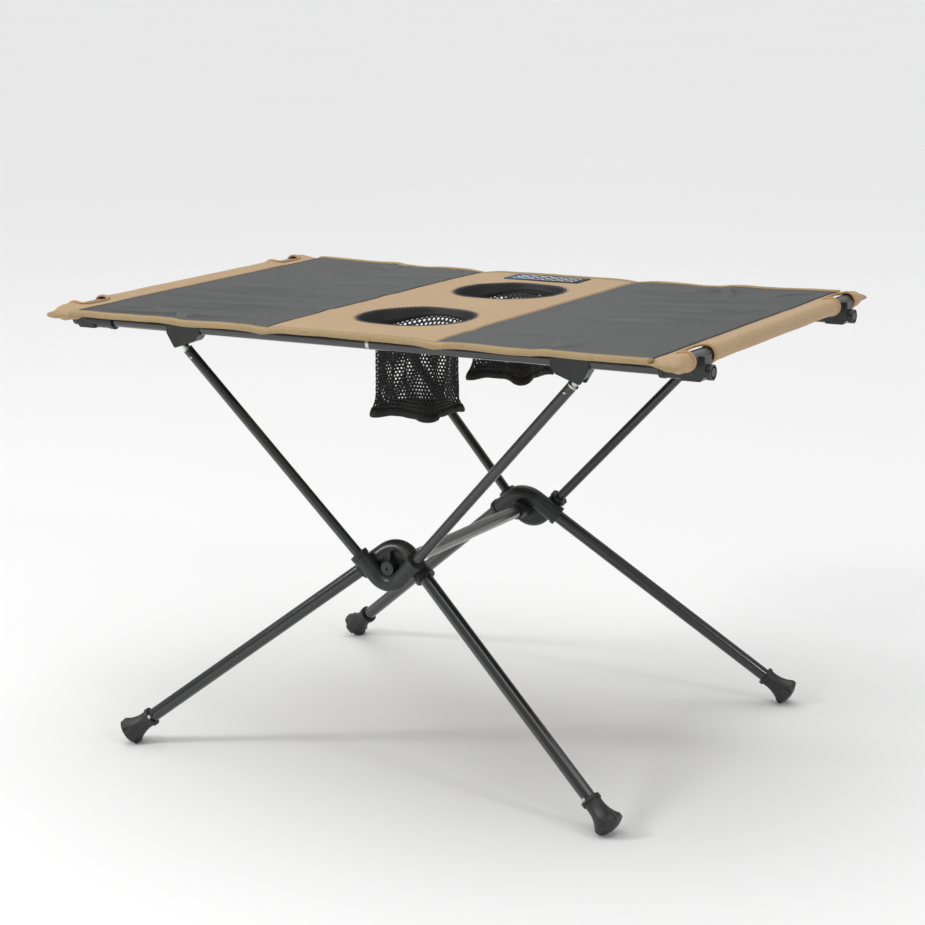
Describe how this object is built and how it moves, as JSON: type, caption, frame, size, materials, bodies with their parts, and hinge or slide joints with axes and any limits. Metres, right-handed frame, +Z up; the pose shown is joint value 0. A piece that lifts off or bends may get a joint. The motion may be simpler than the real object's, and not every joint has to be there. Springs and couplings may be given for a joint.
{
  "type": "camp kitchen table",
  "caption": "Folding camp table with a stretched fabric top, two mesh cup pockets let into it, and crossed tubular legs held by moulded hubs.",
  "frame": {"origin": "on the floor under the middle of the tabletop", "axes": "+Z up, +X along the tabletop's long side, +Y towards the rear edge, which carries the blank patch"},
  "size_m": [0.615, 0.404, 0.392],
  "materials": {
    "tan_cloth": "woven coyote polyester, matt",
    "black_cloth": "coated black polyester, satin",
    "edge_tape": "folded khaki grosgrain tape",
    "notch_piping": "rolled orange-tan binding",
    "facing_cloth": "smooth black facing",
    "mesh_cloth": "knitted black mesh",
    "patch": "woven blank label",
    "end_tube": "satin grey anodised",
    "bar_tube": "polished grey anodised",
    "dark_tube": "black anodised",
    "ferrule": "bright aluminium",
    "nylon": "moulded dark nylon",
    "rubber": "moulded rubber",
    "cord": "braided elastic cord",
    "screw": "blackened steel"
  },
  "bodies": {
    "hub_frame": {"front_hub": "nylon", "rear_hub": "nylon", "centre_bar": "bar_tube", "bar_plugs": "nylon", "hub_screws": "screw", "front_upper_cord": "cord", "rear_upper_cord": "cord", "front_lower_cord": "cord", "rear_lower_cord": "cord"},
    "front_left_leg": {"front_left_lower_leg": "dark_tube", "front_left_foot": "rubber"},
    "front_left_pole": {"front_left_upper_pole": "dark_tube", "front_left_pole_tip": "ferrule"},
    "front_right_leg": {"front_right_lower_leg": "dark_tube", "front_right_foot": "rubber"},
    "front_right_pole": {"front_right_upper_pole": "dark_tube", "front_right_pole_tip": "ferrule"},
    "rear_left_leg": {"rear_left_lower_leg": "dark_tube", "rear_left_foot": "rubber"},
    "rear_left_pole": {"rear_left_upper_pole": "dark_tube", "rear_left_pole_tip": "ferrule"},
    "rear_right_leg": {"rear_right_lower_leg": "dark_tube", "rear_right_foot": "rubber"},
    "rear_right_pole": {"rear_right_upper_pole": "dark_tube", "rear_right_pole_tip": "ferrule"},
    "table_top": {"centre_panel": "tan_cloth", "connector_buttons": "nylon", "end_pole_caps": "nylon", "front_cup_facing": "facing_cloth", "front_cup_pocket": "mesh_cloth", "front_edge_binding": "edge_tape", "front_left_connector": "nylon", "front_left_leg_bracket": "nylon", "front_left_side_pole": "dark_tube", "front_right_connector": "nylon", "front_right_leg_bracket": "nylon", "front_right_side_pole": "dark_tube", "front_side_cord": "cord", "front_side_ferrule": "ferrule", "label_patch": "patch", "left_end_pole": "end_tube", "left_panel": "black_cloth", "left_sleeve": "tan_cloth", "notch_bindings": "notch_piping", "rear_cup_facing": "facing_cloth", "rear_cup_pocket": "mesh_cloth", "rear_edge_binding": "edge_tape", "rear_left_connector": "nylon", "rear_left_leg_bracket": "nylon", "rear_left_side_pole": "dark_tube", "rear_right_connector": "nylon", "rear_right_leg_bracket": "nylon", "rear_right_side_pole": "dark_tube", "rear_side_cord": "cord", "rear_side_ferrule": "ferrule", "right_end_pole": "end_tube", "right_panel": "black_cloth", "right_sleeve": "tan_cloth"}
  },
  "joints": [
    {"name": "top_lift", "type": "slide", "parent": "hub_frame", "child": "table_top", "axis": [0, 0, 1], "range_m": [0, 0.12]},
    {"name": "front_left_leg_pull", "type": "slide", "parent": "hub_frame", "child": "front_left_leg", "axis": [-0.7651, -0.2452, -0.5954], "range_m": [0, 0.03], "stiffness_N_per_m": 100, "springref_m": -0.05},
    {"name": "front_right_leg_pull", "type": "slide", "parent": "hub_frame", "child": "front_right_leg", "axis": [0.7651, -0.2452, -0.5954], "range_m": [0, 0.03], "stiffness_N_per_m": 100, "springref_m": -0.05},
    {"name": "rear_left_leg_pull", "type": "slide", "parent": "hub_frame", "child": "rear_left_leg", "axis": [-0.7651, 0.2452, -0.5954], "range_m": [0, 0.03], "stiffness_N_per_m": 100, "springref_m": -0.05},
    {"name": "rear_right_leg_pull", "type": "slide", "parent": "hub_frame", "child": "rear_right_leg", "axis": [0.7651, 0.2452, -0.5954], "range_m": [0, 0.03], "stiffness_N_per_m": 100, "springref_m": -0.05},
    {"name": "front_left_pole_pull", "type": "slide", "parent": "hub_frame", "child": "front_left_pole", "axis": [-0.6833, -0.0824, 0.7254], "range_m": [0, 0.037]},
    {"name": "front_right_pole_pull", "type": "slide", "parent": "hub_frame", "child": "front_right_pole", "axis": [0.6833, -0.0824, 0.7254], "range_m": [0, 0.037]},
    {"name": "rear_left_pole_pull", "type": "slide", "parent": "hub_frame", "child": "rear_left_pole", "axis": [-0.6833, 0.0824, 0.7254], "range_m": [0, 0.037]},
    {"name": "rear_right_pole_pull", "type": "slide", "parent": "hub_frame", "child": "rear_right_pole", "axis": [0.6833, 0.0824, 0.7254], "range_m": [0, 0.037]}
  ],
  "couplings": [
    {"joint": "front_left_pole_pull", "follows": "top_lift", "ratio": 0.3},
    {"joint": "front_right_pole_pull", "follows": "top_lift", "ratio": 0.3},
    {"joint": "rear_left_pole_pull", "follows": "top_lift", "ratio": 0.3},
    {"joint": "rear_right_pole_pull", "follows": "top_lift", "ratio": 0.3}
  ]
}
